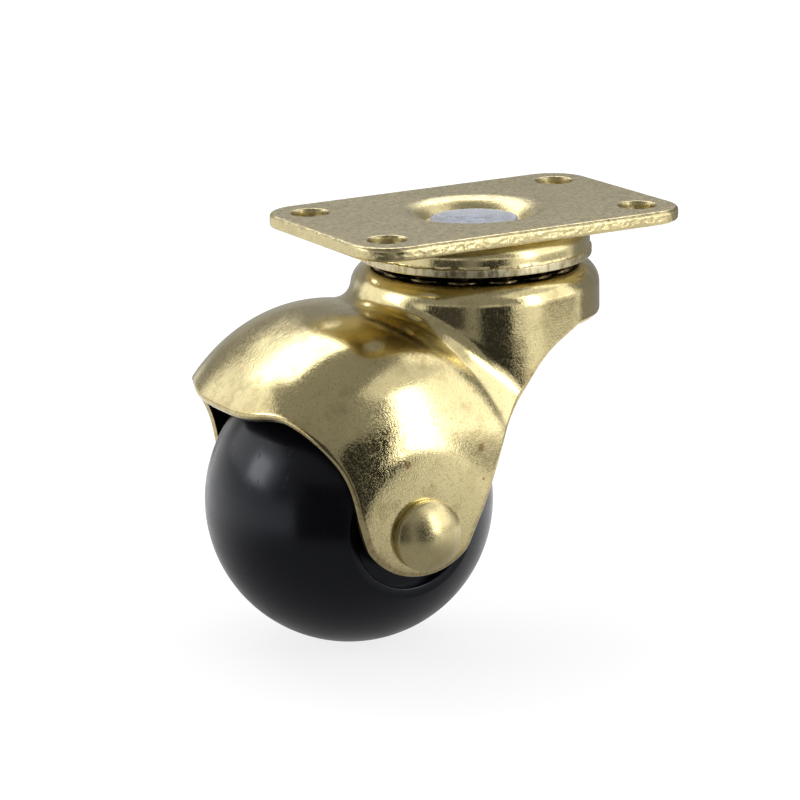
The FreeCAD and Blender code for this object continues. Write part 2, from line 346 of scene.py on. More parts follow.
cap_seat_level = plate_low.z
cap_under_level = plate_low.z - cap_sheet
cap_section = [(kingpin_hole, cap_seat_level), (seat_radius, cap_seat_level), (rise_radius, cap_high.z)]
cap_section += bend((cap_body - cap_shoulder, cap_high.z - cap_shoulder), cap_shoulder, 90, 0, 14)
cap_section += [(cap_body, cap_rim_top + cap_rim_edge)]
cap_section += bend((cap_rim - cap_rim_edge, cap_rim_top - cap_rim_edge), cap_rim_edge, 90, 0, 4)
cap_section += bend((cap_rim - cap_rim_edge, cap_low.z + cap_rim_edge), cap_rim_edge, 0, -90, 4)
cap_wall_inside = cap_body - cap_sheet
cap_inner_shoulder = cap_shoulder - cap_sheet
cap_section += [(cap_wall_inside, cap_low.z)]
cap_inner_bend = (cap_wall_inside - cap_inner_shoulder, cap_track - cap_inner_shoulder)
cap_section += bend(cap_inner_bend, cap_inner_shoulder, 0, 90, 8)
cap_section += [(rise_radius + cap_sheet / 2, cap_track), (seat_radius + cap_sheet / 2, cap_under_level),
                (kingpin_hole, cap_under_level)]
mesh = bmesh.new()
rows = turned_rows(divided(cap_section, cap_step), cap_sides)
for row in rows:
    for point in row:
        radius = math.hypot(point[0], point[1])
        on_rim = radius > cap_body + cap_rim_margin
        if on_rim:
            turn = math.atan2(point[1], point[0])
            scores = noise.noise(Vector((turn * 14, point[2] * 500, 0)))
            scores += noise.noise(Vector((turn * 40, point[2] * 900, 5)))
            point[:2] *= 1 - cap_score_depth * (0.4 + 0.5 * scores) / radius
            lift = noise.noise(Vector((turn * 9, 0, 2))) + 0.5 * noise.noise(Vector((turn * 34, 0, 7)))
            rise = (point[2] - cap_low.z) / cap_rim_height
            point[2] += cap_rim_lift * lift * rise
strip(mesh, rows, closed=True)

cap_finish = brass("cap_brass", 0.18, 0.00025, 0.000014, 0.000025)
tree, place = cap_finish["tree"], cap_finish["place"]
cap_level = node(tree, "ShaderNodeSeparateXYZ", {"Vector": place}).outputs["Z"]
ragged = sums(tree, "MULTIPLY_ADD", grain(tree, place, 0.0012, 3, 0.6), ragged_depth)
ragged.node.inputs[2].default_value = cap_rim_top - ragged_depth / 2
sheared = sums(tree, "LESS_THAN", cap_level, ragged)
score_streaks = grain(tree, stretched(tree, place, (1, 1, 0.3)), 0.0009, 4, 0.6)
sheared_tone = blend(tree, remap(tree, score_streaks, 0.36, 0.60, 0, 1), sheared_dark, sheared_light)
cap_finish["colour"] = blend(tree, sheared, cap_finish["colour"], sheared_tone)
sheared_roughness = remap(tree, score_streaks, 0.3, 0.7, 0.26, 0.46)
cap_finish["roughness"] = node(tree, "ShaderNodeMix", {0: sheared, 2: cap_finish["roughness"],
                                                       3: sheared_roughness}).outputs[0]
pressed_cap = new_piece("pressed_cap", mesh, dress(cap_finish))
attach(pressed_cap, "base")
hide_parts("swivel_cap")

# Race balls
# Two rings of hardened steel balls carry the load. The larger ring runs between the cap and the hood's
# groove, the smaller one under the hood. They are ground and polished, with a film of grease, and their
# steel colour is darkened as painted shade for the narrow gaps they run in.
# Both tones are darker than clean steel: partly real grease, partly painted shade for the shaded gaps round the
# balls.
shaded_steel_tone = (0.26, 0.24, 0.21, 1)
grease_and_shade_tone = (0.08, 0.06, 0.035, 1)
ball_steel, tree, shader, place = new_finish("ball_steel")
shader.inputs["Metallic"].default_value = 1
film = grain(tree, place, 0.0012, 3, 0.6)
steel_grease_and_shade = blend(tree, remap(tree, film, 0.4, 0.7, 0, 1), shaded_steel_tone, grease_and_shade_tone)
tree.links.new(steel_grease_and_shade, shader.inputs["Base Color"])
tree.links.new(remap(tree, film, 0.3, 0.7, 0.10, 0.26), shader.inputs["Roughness"])
for name in ("upper_race_balls", "lower_race_balls"):
    frame["nodes"][name].data.materials.clear()
    frame["nodes"][name].data.materials.append(ball_steel)

# Hood
# Drawn from one steel sheet into a dome over the ball and a turret for the races, trimmed along the lip,
# ears and rear with its edge rolled smooth, then brass plated. It turns on the balls and holds the axle.
hood_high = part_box("hood")[1]
axle_x, _, axle_z = next(joint["pos_m"] for joint in frame["joints"] if joint["name"] == "wheel_spin")
race_low, race_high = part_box("upper_race_balls")
hood_sheet = 0.0016
turret_radius = hood_high.x
turret_top = hood_high.z
turret_shoulder = 0.004
turret_skirt = -0.0182
skirt_start_x = 0.009
ear_face = hood_high.y
ear_edge = 0.00012
dome_half_length = 0.0308
dome_half_height = 0.0339
dome_bulge = 0.00045
dome_fullness = 3.25
crease_radius = 0.0032
trim_rounding = 0.0009
swivel_hole = 0.0054
race_ball = (race_high.z - race_low.z) / 2
groove_tube = race_ball + 0.00005
groove_level = race_low.z + race_ball
groove_radius = race_high.x - race_ball
hood_columns = 440
hood_outer_rows = 150
hood_inner_rows = 52
hood_wave = 0.000014
edge_steps = 7
column_samples = 360
halvings = 30
edge_halvings = 20
drill_sides = 96
stain_squeeze = 0.15
cloud_size = 0.0045
cloud_roughness = 0.16
hood_heart = np.array((0, 0, -0.036))
axle_bore = 0.00403
hood_stains = [(-0.02922, -0.03539, 0.0010), (-0.01468, -0.03471, 0.0012), (-0.01456, -0.04014, 0.0004),
               (-0.02353, -0.02938, 0.0005), (-0.02005, -0.02904, 0.0004)]

# Side outline, as X and Z from the axle: the lip, the ear's arc and the rear edge up to the skirt
lip_course = [(-0.0324, 0.0195), (-0.0250, 0.0198), (-0.0234, 0.0206), (-0.0221, 0.0208), (-0.0205, 0.0198),
              (-0.0179, 0.0169), (-0.0142, 0.0110), (-0.0122, 0.0035), (-0.0106, -0.0017)]
ear_course = [(-0.0106, -0.0017), (-0.0004, -0.0074), (0.0085, -0.0038)]
rear_course = [(0.0085, -0.0038), (0.0132, 0.0057), (0.0179, 0.0140), (0.0221, 0.0192), (0.0278, 0.0262),
               (skirt_start_x - axle_x, turret_skirt - axle_z)]
skirt_course = [rear_course[-1], (2 * turret_radius - axle_x, turret_skirt - axle_z)]


def smooth_through(points, count):
    """Points of a smooth curve through a few given ones."""
    points = np.array(points)
    knots = np.concatenate([[0], np.cumsum(np.linalg.norm(np.diff(points, axis=0), axis=1))])
    gaps = np.diff(knots)
    system = np.eye(len(points))
    pull = np.zeros_like(points)
    for i in range(1, len(points) - 1):
        system[i, i - 1:i + 2] = gaps[i - 1], 2 * (gaps[i - 1] + gaps[i]), gaps[i]
        pull[i] = 6 * ((points[i + 1] - points[i]) / gaps[i] - (points[i] - points[i - 1]) / gaps[i - 1])
    bends = np.linalg.solve(system, pull)
    travel = np.linspace(0, knots[-1], count)
    span = np.clip(np.searchsorted(knots, travel, side="right") - 1, 0, len(points) - 2)
    before = ((knots[span + 1] - travel) / gaps[span])[:, None]
    after = 1 - before
    sag = (before ** 3 - before) * bends[span] + (after ** 3 - after) * bends[span + 1]
    return before * points[span] + after * points[span + 1] + sag * gaps[span][:, None] ** 2 / 6


def arc_through(points, count):
    """Points of the arc through three given ones."""
    first, middle, last = np.array(points)
    sides = 2 * np.array((middle - first, last - first))
    lengths = np.array((middle @ middle - first @ first, last @ last - first @ first))
    centre = np.linalg.solve(sides, lengths)
    angles = [math.atan2(*(point - centre)[::-1]) for point in (first, last)]
    sweep = np.linspace(angles[0], angles[1], count)
    return centre + np.linalg.norm(first - centre) * np.stack([np.cos(sweep), np.sin(sweep)], 1)


trim = np.concatenate([smooth_through(lip_course, 900), arc_through(ear_course, 500)[1:],
                       smooth_through(rear_course, 900)[1:], smooth_through(skirt_course, 700)[1:]])
trim += (axle_x, axle_z)
trim_run = np.gradient(trim, axis=0)
trim_up = np.stack([-trim_run[:, 1], trim_run[:, 0]], 1) / np.linalg.norm(trim_run, axis=1)[:, None]
trim_tree = kdtree.KDTree(len(trim))
for index, (x, z) in enumerate(trim):
    trim_tree.insert((x, 0, z), index)
trim_tree.balance()


def trim_clearance(points):
    """Distance above the trimmed edge, and the way up from it."""
    flat = points.reshape(-1, 3)
    nearest = np.array([trim_tree.find((x, 0, z))[1] for x, y, z in flat])
    up = trim_up[nearest]
    gap = ((flat[:, [0, 2]] - trim[nearest]) * up).sum(1)
    up = np.stack([up[:, 0], np.zeros(len(up)), up[:, 1]], 1)
    return gap.reshape(points.shape[:-1]), up.reshape(points.shape)


def hood_distance(points, inset):
    """How far points lie outside the drawn form moved in by inset: turret and dome run into each other."""
    x, y, z = np.moveaxis(points, -1, 0)
    spread = np.hypot(x, y)
    shoulder = turret_shoulder - inset
    out = spread - (turret_radius - inset - shoulder)
    over = z - (turret_top - inset - shoulder)
    turret = np.hypot(np.maximum(out, 0), np.maximum(over, 0))
    turret = turret + np.minimum(np.maximum(out, over), 0) - shoulder
    length = dome_half_length - inset
    height = dome_half_height - inset
    width = ear_face + dome_bulge - inset
    along = (x - axle_x) / length
    rise = (z - axle_z) / height
    reach = np.maximum(np.hypot(along, rise), 1e-9)
    aside = np.abs(y) / width
    gauge = (reach ** dome_fullness + aside ** dome_fullness) ** (1 / dome_fullness)
    reach_slope = (reach / gauge) ** (dome_fullness - 1) * np.hypot(along / length, rise / height) / reach
    aside_slope = (aside / gauge) ** (dome_fullness - 1) / width
    dome = (gauge - 1) / np.hypot(reach_slope, aside_slope)
    flat = np.abs(y) - (ear_face - inset)
    dome = (dome + flat + np.hypot(dome - flat, ear_edge)) / 2
    crease = crease_radius + inset
    joined = np.hypot(np.maximum(crease - turret, 0), np.maximum(crease - dome, 0))
    form = np.maximum(crease, np.minimum(turret, dome)) - joined
    groove = np.hypot(spread - groove_radius, z - groove_level) - groove_tube - inset
    return np.maximum(form, -groove)


def hood_normal(points, inset):
    """Way out of the drawn form."""
    step = 2e-6
    slopes = []
    for axis in np.eye(3) * step:
        slopes.append(hood_distance(points + axis, inset) - hood_distance(points - axis, inset))
    slopes = np.stack(slopes, -1)
    return slopes / np.linalg.norm(slopes, axis=-1, keepdims=True)


def cast(turn, tilt, inset):
    """Where rays from inside the turret leave the form. The tilt is counted down from straight up."""
    way = np.stack([np.sin(tilt) * np.cos(turn), np.sin(tilt) * np.sin(turn), np.cos(tilt)], -1)
    near = np.full(tilt.shape, 0.001)
    far = np.full(tilt.shape, 0.09)
    for _ in range(halvings):
        middle = (near + far) / 2
        inside = hood_distance(hood_heart + way * middle[..., None], inset) < 0
        near = np.where(inside, middle, near)
        far = np.where(inside, far, middle)
    return hood_heart + way * near[..., None]


def above_trim(points):
    """Which points lie above the trimmed edge."""
    return points[..., 2] > np.interp(points[..., 0], trim[:, 0], trim[:, 1])


def edge_tilt(turns, inset):
    """Tilt at which each column of rays comes to the trimmed edge."""
    tilts = np.linspace(0.3, 2.2, 120)
    kept = above_trim(cast(turns[:, None] + 0 * tilts, tilts + 0 * turns[:, None], inset))
    first_cut = np.argmin(kept, axis=1)
    high = tilts[first_cut - 1]
    low = tilts[first_cut]
    for _ in range(edge_halvings):
        middle = (high + low) / 2
        inside = above_trim(cast(turns, middle, inset))
        high = np.where(inside, middle, high)
        low = np.where(inside, low, middle)
    return high


def spread_evenly(line, count):
    """Points at even steps along a line of points."""
    travel = np.concatenate([[0], np.cumsum(np.linalg.norm(np.diff(line, axis=0), axis=1))])
    even = np.linspace(0, travel[-1], count)
    return np.stack([np.interp(even, travel, line[:, axis]) for axis in range(3)], 1)


def sheet_rays(turns, last, inset):
    """Fine columns of points on one side of the sheet, from the swivel hole to each column's last tilt."""
    first = math.atan2(swivel_hole, turret_top - inset - hood_heart[2])
    tilts = first + (last - first)[:, None] * np.linspace(0, 1, column_samples)
    return cast(turns[:, None] + 0 * tilts, tilts, inset)


def outer_side(turns):
    """Columns of the sheet's outside to where its edge starts to round, with the rounding's centres and the
    ways from them to the outside and along the sheet to the cut."""
    points = sheet_rays(turns, edge_tilt(turns, 0), 0)
    normals = hood_normal(points, 0)
    tail = points.shape[1] // 2
    gap, up = trim_clearance(points[:, tail:])
    along = up - (up * normals[:, tail:]).sum(-1, keepdims=True) * normals[:, tail:]
    steepness = np.linalg.norm(along, axis=-1)
    room = gap / np.maximum(steepness, 1e-9) - trim_rounding
    columns, side, face = [], [], []
    for column, line in enumerate(points):
        stop = np.nonzero(room[column] > 0)[0][-1]
        share = room[column, stop] / (room[column, stop] - room[column, stop + 1])
        last = line[tail + stop] + share * (line[tail + stop + 1] - line[tail + stop])
        columns.append(spread_evenly(np.concatenate([line[:tail + stop + 1], [last]]), hood_outer_rows))
        side.append(normals[column, tail + stop])
        face.append(-along[column, stop] / steepness[column, stop])
    columns, side, face = np.array(columns), np.array(side), np.array(face)
    return columns, columns[:, -1] - trim_rounding * side, side, face


def rounded_edge(centres, radius, start, end, steps):
    """Rows of points round the sheet's edge."""
    angle = np.arccos(np.clip((start * end).sum(1), -1, 1))[:, None]
    rows = []
    for share in np.linspace(0, 1, steps + 1):
        way = (np.sin((1 - share) * angle) * start + np.sin(share * angle) * end) / np.sin(angle)
        rows.append(centres + radius * way)
    return rows


def apart(tree, first, second):
    """How far apart two places are."""
    return node(tree, "ShaderNodeVectorMath", {0: first, 1: second}, operation="DISTANCE").outputs["Value"]


even_turns = np.linspace(-math.pi, math.pi, 1201)
edge_line = cast(even_turns, edge_tilt(even_turns, 0), 0)
edge_travel = np.concatenate([[0], np.cumsum(np.linalg.norm(np.diff(edge_line, axis=0), axis=1))])
even_travel = np.linspace(0, edge_travel[-1], hood_columns, endpoint=False)
hood_turns = np.interp(even_travel, edge_travel, even_turns)
outer, centres, side, face = outer_side(hood_turns)
for column in outer:
    for point in column:
        spot = Vector(point)
        wave = noise.noise(spot * 210) + 0.5 * noise.noise(spot * 470) + 0.25 * noise.noise(spot * 1100)
        point += hood_wave * wave * (point - (0, 0, axle_z)) / np.linalg.norm(point - (0, 0, axle_z))
rows = list(np.moveaxis(outer, 1, 0))
rows += rounded_edge(centres, trim_rounding, side, face, edge_steps)[1:]
foot = centres + trim_rounding * face - (hood_sheet - trim_rounding) * side - hood_heart
foot_turns = np.arctan2(foot[:, 1], foot[:, 0])
foot_tilts = np.arctan2(np.hypot(foot[:, 0], foot[:, 1]), foot[:, 2])
inner = [spread_evenly(line, hood_inner_rows) for line in sheet_rays(foot_turns, foot_tilts, hood_sheet)]
rows += list(np.moveaxis(np.array(inner), 1, 0))[::-1]
mesh = bmesh.new()
edge_mark = mesh.verts.layers.float.new("near_edge")
for index, row in enumerate(strip(mesh, rows, closed=True)):
    from_edge = max(0, hood_outer_rows - index)
    if index < hood_outer_rows + 10:
        for vertex in row:
            vertex[edge_mark] = math.exp(-(from_edge / 2.2) ** 2)

hood_finish = brass("hood_brass", 0.13, 0.0004, 0.00002, 0.00002)
tree, place = hood_finish["tree"], hood_finish["place"]
ragged = grain(tree, place, 0.0007, 4, 0.65)
near_edge = node(tree, "ShaderNodeAttribute", attribute_name="near_edge").outputs["Fac"]
tarnished = sums(tree, "MULTIPLY", near_edge, remap(tree, ragged, 0.40, 0.66, 0.1, 0.5))
squeezed = {0: place, 1: (1, stain_squeeze, 1)}
near_side = node(tree, "ShaderNodeVectorMath", squeezed, operation="MULTIPLY").outputs["Vector"]
for x, z, size in hood_stains:
    stain_reach = sums(tree, "MULTIPLY_ADD", ragged, -size)
    stain_gap = apart(tree, near_side, (x, -stain_squeeze * ear_face, z))
    tree.links.new(stain_gap, stain_reach.node.inputs[2])
    tarnished = sums(tree, "MAXIMUM", tarnished, remap(tree, stain_reach, -0.2 * size, 0.4 * size, 0.8, 0))
clouded = remap(tree, grain(tree, place, cloud_size, 8, 0.75), 0.50, 0.66, 0, 0.5)
hood_finish["colour"] = blend(tree, clouded, hood_finish["colour"], brass_shade)
hood_finish["colour"] = blend(tree, tarnished, hood_finish["colour"], tarnish_tone)
dulled = sums(tree, "MULTIPLY", clouded, cloud_roughness)
hood_finish["roughness"] = sums(tree, "ADD", hood_finish["roughness"], dulled)
drawn_hood = new_piece("drawn_hood", mesh, dress(hood_finish))
mesh = bmesh.new()
across = Matrix.Translation((axle_x, 0, axle_z)) @ Matrix.Rotation(math.pi / 2, 4, "X")
bmesh.ops.create_cone(mesh, cap_ends=True, segments=drill_sides, radius1=axle_bore, radius2=axle_bore,
                      depth=4 * ear_face, matrix=across)
drill = new_piece("axle_drill", mesh, hood_finish["material"])
bore = drawn_hood.modifiers.new("axle_bore", "BOOLEAN")
bore.object = drill
bpy.context.view_layer.update()
drilled = bpy.data.meshes.new_from_object(drawn_hood.evaluated_get(bpy.context.evaluated_depsgraph_get()))
drawn_hood.modifiers.clear()
drawn_hood.data = drilled
bpy.data.objects.remove(drill)
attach(drawn_hood, "swivel")
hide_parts("hood")

# Lower race
# A dished washer pressed from steel and zinc plated. It keeps the small balls in under the hood.
# The kingpin's tail holds it up, and it stands still while the hood turns round it.
race_dark = (0.40, 0.42, 0.46, 1)
race_light = (0.60, 0.62, 0.66, 1)
race_steel, tree, shader, place = new_finish("race_zinc")
shader.inputs["Metallic"].default_value = 1
spangle = grain(tree, place, 0.0011, 4, 0.6)
race_colour = blend(tree, remap(tree, spangle, 0.35, 0.65, 0, 1), race_dark, race_light)
tree.links.new(race_colour, shader.inputs["Base Color"])
tree.links.new(remap(tree, spangle, 0.3, 0.7, 0.26, 0.42), shader.inputs["Roughness"])
tree.links.new(raised(tree, grain(tree, place, 0.0003, 3, 0.6), 0.000012), shader.inputs["Normal"])
frame["nodes"]["lower_race"].data.materials.clear()
frame["nodes"]["lower_race"].data.materials.append(race_steel)

# Kingpin
# A steel rivet, zinc plated, that holds plate, cap, hood and lower race together and is the swivel's axis.
# Its flat head lies in the plate's dish and still shows the rings of the tool that closed it.
pin_low, pin_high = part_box("kingpin")
pin_head_radius = pin_high.x
pin_head_edge = 0.00035
pin_shank = 0.0048
pin_tail_height = 0.0022
pin_tail_edge = pin_tail_height / 2
pin_tail_radius = 0.0076
pin_tail_top = pin_low.z + pin_tail_height
pin_ring_depth = 0.000018
pin_centre_mark = 0.0021
pin_mark_width = 0.00018
pin_rings_per_metre = 2600
bruises_per_metre = 700
pin_step = 0.00012
pin_sides = 160
pin_dark = (0.19, 0.205, 0.255, 1)
pin_light = (0.44, 0.47, 0.55, 1)
pin_section = [(0, pin_high.z)]
pin_section += bend((pin_head_radius - pin_head_edge, pin_high.z - pin_head_edge), pin_head_edge, 90, 0, 6)
pin_section += [(pin_head_radius, -dish_depth), (pin_shank, -dish_depth), (pin_shank, pin_tail_top),
                (pin_tail_radius, pin_tail_top)]
pin_section += bend((pin_tail_radius - pin_tail_edge, pin_low.z + pin_tail_edge), pin_tail_edge, 0, -90, 8)
pin_section.append((0, pin_low.z))
mesh = bmesh.new()
rows = turned_rows(divided(pin_section, pin_step), pin_sides)
for row in rows:
    radius = math.hypot(*row[0][:2])
    if row[0][2] < pin_high.z - pin_head_edge or radius > pin_head_radius - pin_head_edge:
        continue
    for point in row:
        rings = noise.noise(Vector((radius * pin_rings_per_metre, 3.3, 0)))
        rings += 0.6 * noise.noise(Vector(point) * bruises_per_metre)
        centre_mark = -2 * math.exp(-((radius - pin_centre_mark) / pin_mark_width) ** 2)
        point[2] += pin_ring_depth * (rings + centre_mark)
strip(mesh, rows)

pin_zinc, tree, shader, place = new_finish("kingpin_zinc")
shader.inputs["Metallic"].default_value = 1
x_y = node(tree, "ShaderNodeVectorMath", {0: place, 1: (1, 1, 0)}, operation="MULTIPLY").outputs["Vector"]
from_middle = node(tree, "ShaderNodeVectorMath", {0: x_y}, operation="LENGTH").outputs["Value"]
smear = grain(tree, place, 0.0016, 4, 0.65)
wobble = sums(tree, "MULTIPLY_ADD", smear, 0.0005)
tree.links.new(from_middle, wobble.node.inputs[2])
turning = node(tree, "ShaderNodeTexNoise", {"W": wobble, "Scale": 5200, "Detail": 3}, noise_dimensions="1D")
bruises = grain(tree, place, 0.0007, 3, 0.6)
ring_share = remap(tree, turning.outputs["Fac"], 0.35, 0.65, 0, 1)
ring_share = sums(tree, "MULTIPLY", ring_share, remap(tree, bruises, 0.3, 0.6, 0.5, 1))
tree.links.new(blend(tree, ring_share, pin_dark, pin_light), shader.inputs["Base Color"])
tree.links.new(remap(tree, smear, 0.3, 0.7, 0.30, 0.46), shader.inputs["Roughness"])
tree.links.new(raised(tree, turning.outputs["Fac"], 0.00003), shader.inputs["Normal"])
pin_rivet = new_piece("kingpin_rivet", mesh, pin_zinc)
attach(pin_rivet, "base")
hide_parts("kingpin")

# Ball
# Moulded in glossy black plastic, with a recess and a hub on each side that runs between the hood's ears.
# It turns freely on the axle. Handling has left faint wipe marks and a few hair scratches.
ball_low, ball_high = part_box("ball_wheel")
ball_radius = (ball_high.z - ball_low.z) / 2
ball_hub_half = ball_high.y
ball_hub = 0.007
ball_hub_edge = 0.0004
ball_rim = 0.0121
ball_rim_edge = 0.0008
ball_recess = 0.0105
ball_recess_depth = 0.0014
ball_recess_edge = 0.0003
ball_bore = 0.00408
ball_sides = 288
ball_tone = (0.0038, 0.0040, 0.0060, 1)
dust_tone = (0.018, 0.018, 0.023, 1)
rim_level = math.sqrt(ball_radius ** 2 - ball_rim ** 2)
recess_level = rim_level - ball_recess_depth
rim_bend_level = rim_level - ball_rim_edge
rim_bend_radius = math.sqrt((ball_radius - ball_rim_edge) ** 2 - rim_bend_level ** 2)
rim_angle = math.degrees(math.atan2(rim_bend_level, rim_bend_radius))


def on_axle(rows):
    """Takes rows turned about Z to the axle."""
    return [np.stack([axle_x + row[:, 0], row[:, 2], axle_z - row[:, 1]], 1) for row in rows]


half_section = [(ball_bore, ball_hub_half)]
half_section += bend((ball_hub - ball_hub_edge, ball_hub_half - ball_hub_edge), ball_hub_edge, 90, 0, 4)
half_section += [(ball_hub, recess_level)]
half_section += [(ball_recess, recess_level)]
recess_bend = (ball_recess + ball_recess_edge, rim_level - ball_recess_edge)
half_section += bend(recess_bend, ball_recess_edge, 180, 90, 4)
half_section += bend((rim_bend_radius, rim_bend_level), ball_rim_edge, 90, rim_angle, 6)
ball_section = half_section + bend((0, 0), ball_radius, rim_angle, -rim_angle, 90)[1:-1]
ball_section += [(r, -z) for r, z in half_section[::-1]]
mesh = bmesh.new()
strip(mesh, on_axle(turned_rows(ball_section, ball_sides)), closed=True)

ball_black, tree, shader, place = new_finish("ball_black")
shader.inputs["IOR"].default_value = 1.37
shader.inputs["Specular Tint"].default_value = (0.87, 0.90, 1, 1)
wipes = grain(tree, stretched(tree, place, (1, 0.35, 1)), 0.0045, 4, 0.6)
dust = grain(tree, place, 0.00035, 2, 0.5)
hairs = grain(tree, stretched(tree, place, (0.05, 1, 0.4)), 0.0009, 2, 0.4)
dust_share = remap(tree, dust, 0.66, 0.78, 0, 0.5)
tree.links.new(blend(tree, dust_share, ball_tone, dust_tone), shader.inputs["Base Color"])
scratched = remap(tree, hairs, 0.66, 0.72, 0, 0.10)
ball_roughness = sums(tree, "ADD", remap(tree, wipes, 0.35, 0.7, 0.20, 0.28), scratched)
tree.links.new(ball_roughness, shader.inputs["Roughness"])
tree.links.new(raised(tree, wipes, 0.000012), shader.inputs["Normal"])
moulded_ball = new_piece("moulded_ball", mesh, ball_black, 25)
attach(moulded_ball, "wheel")
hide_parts("ball_wheel")

# Axle
# A steel pin through both ears and the ball, brass plated, with a domed head closed against each ear.
# A fine turned line parts each dome from its band.
axle_low, axle_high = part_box("axle")
axle_pin = 0.004
axle_head = (axle_high.z - axle_low.z) / 2
axle_band = 0.0014
axle_foot_edge = 0.0002
axle_line_depth = 0.00016
axle_line_width = 0.00016
axle_sides = 128
crown_rise = axle_high.y - ear_face - axle_band
crown_radius = (axle_head ** 2 + crown_rise ** 2) / (2 * crown_rise)
crown_level = axle_high.y - crown_radius
crown_angle = math.degrees(math.asin((ear_face + axle_band - crown_level) / crown_radius))
band_top = ear_face + axle_band - axle_line_width
half_section = bend((0, crown_level), crown_radius, 90, crown_angle + 2, 40)
half_section += bend((axle_head - axle_line_depth, ear_face + axle_band), axle_line_depth / 2, 40, -60, 4)
half_section += [(axle_head - axle_line_depth, band_top)]
half_section += bend((axle_head - axle_line_width, band_top - axle_line_width), axle_line_width, 90, 0, 4)
half_section += bend((axle_head - axle_foot_edge, ear_face + axle_foot_edge), axle_foot_edge, 0, -90, 3)
half_section += [(axle_pin, ear_face)]
axle_section = half_section + [(r, -z) for r, z in half_section[::-1]]
mesh = bmesh.new()
strip(mesh, on_axle(turned_rows(axle_section, axle_sides)))

axle_finish = brass("axle_brass", 0.28, 0.00025, 0.000009, 0.00001)
tree, place = axle_finish["tree"], axle_finish["place"]
rubbed = grain(tree, stretched(tree, place, (1, 1, 0.25)), 0.0009, 4, 0.65)
rubbed_share = remap(tree, rubbed, 0.45, 0.72, 0, 0.28)
axle_finish["colour"] = blend(tree, rubbed_share, axle_finish["colour"], brass_shade)
axle_finish["normal"] = raised(tree, rubbed, 0.000005, axle_finish["normal"])
riveted_axle = new_piece("riveted_axle", mesh, dress(axle_finish), 50)
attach(riveted_axle, "swivel")
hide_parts("axle")

# Studio floor
# A pale sweep under the castor, seen as white and keeping its soft shadow. Its glow dims towards the castor,
# a painted contact shadow. A round grey card lies on it that only reflections see, its glow dimmest in the
# middle as a painted shadow, so that the metal and the ball don't mirror white all over.
floor_level = cad_box[0][2]
floor_size = 8
painted_shadow_middle = (-0.013, 0, floor_level)
floor_tone = (0.17, 0.17, 0.17, 1)
card_radius = 0.13
card_x, card_y = -0.056, -0.04
card_lift = 0.0002
white = (1, 1, 1, 1)


def bare_finish(name):
    """Material with no shader yet. Gives the material and its tree."""
    material = bpy.data.materials.new(name)
    material.use_nodes = True
    tree = material.node_tree
    tree.nodes.remove(tree.nodes["Principled BSDF"])
    return material, tree


def glowing(tree, strength):
    """Links a white glow as the whole of a bare finish."""
    glow = node(tree, "ShaderNodeEmission", {"Color": white, "Strength": strength})
    tree.links.new(glow.outputs[0], tree.nodes["Material Output"].inputs["Surface"])


def reflected_only(piece):
    """Hides a piece from the camera, from diffuse light and from shadows, so that only reflections see it."""
    piece.visible_camera = False
    piece.visible_diffuse = False
    piece.visible_shadow = False


mesh = bmesh.new()
bmesh.ops.create_grid(mesh, x_segments=1, y_segments=1, size=floor_size / 2,
                      matrix=Matrix.Translation((0, 0, floor_level)))
floor_paper, tree = bare_finish("floor_paper")
light_path = node(tree, "ShaderNodeLightPath")
seen = sums(tree, "ADD", light_path.outputs["Is Camera Ray"], light_path.outputs["Is Glossy Ray"])
seen = sums(tree, "ADD", seen, light_path.outputs["Is Transmission Ray"])
paper = node(tree, "ShaderNodeBsdfDiffuse", {"Color": floor_tone}).outputs[0]
ground = node(tree, "ShaderNodeTexCoord").outputs["Object"]
from_castor = apart(tree, ground, painted_shadow_middle)
# The glow dims towards the castor: a painted contact shadow, on top of the paper's real shadow.
paleness_and_painted_shadow = sums(tree, "MULTIPLY", seen, remap(tree, from_castor, 0.02, 0.10, 0.82, 0.96))
glow = node(tree, "ShaderNodeEmission", {"Color": white, "Strength": paleness_and_painted_shadow})
both = node(tree, "ShaderNodeAddShader", {0: paper, 1: glow.outputs[0]})
tree.links.new(both.outputs[0], tree.nodes["Material Output"].inputs["Surface"])
floor = new_piece("floor", mesh, floor_paper)
mesh = bmesh.new()
bmesh.ops.create_circle(mesh, cap_ends=True, segments=64, radius=card_radius,
                        matrix=Matrix.Translation((card_x, card_y, floor_level + card_lift)))
card_grey, tree = bare_finish("card_grey")
on_card = node(tree, "ShaderNodeTexCoord").outputs["Object"]
from_middle = apart(tree, on_card, (card_x, card_y, floor_level))
# Its glow is dimmest near its middle, a painted shadow on the floor that only reflections show.
glowing(tree, remap(tree, from_middle, 0.04, card_radius, 0.36, 1.0))
reflected_only(new_piece("grey_card", mesh, card_grey))

# Studio light
# Softboxes on the right, on the left and high behind light the castor. Low dark screens stand round it,
# which only reflections see, so that the metal mirrors the dark and bright fields of a studio.
view_azimuth = math.radians(-29.61)
lit_point = Vector((-0.013, 0, -0.035))
towards_camera = Vector((math.sin(view_azimuth), -math.cos(view_azimuth), 0))
towards_right = Vector((math.cos(view_azimuth), math.sin(view_azimuth), 0))


def direction(azimuth, elevation):
    """Direction from the castor, with the azimuth counted from the camera to its right."""
    azimuth, elevation = math.radians(azimuth), math.radians(elevation)
    level = math.cos(azimuth) * towards_camera + math.sin(azimuth) * towards_right
    return math.cos(elevation) * level + math.sin(elevation) * Vector((0, 0, 1))


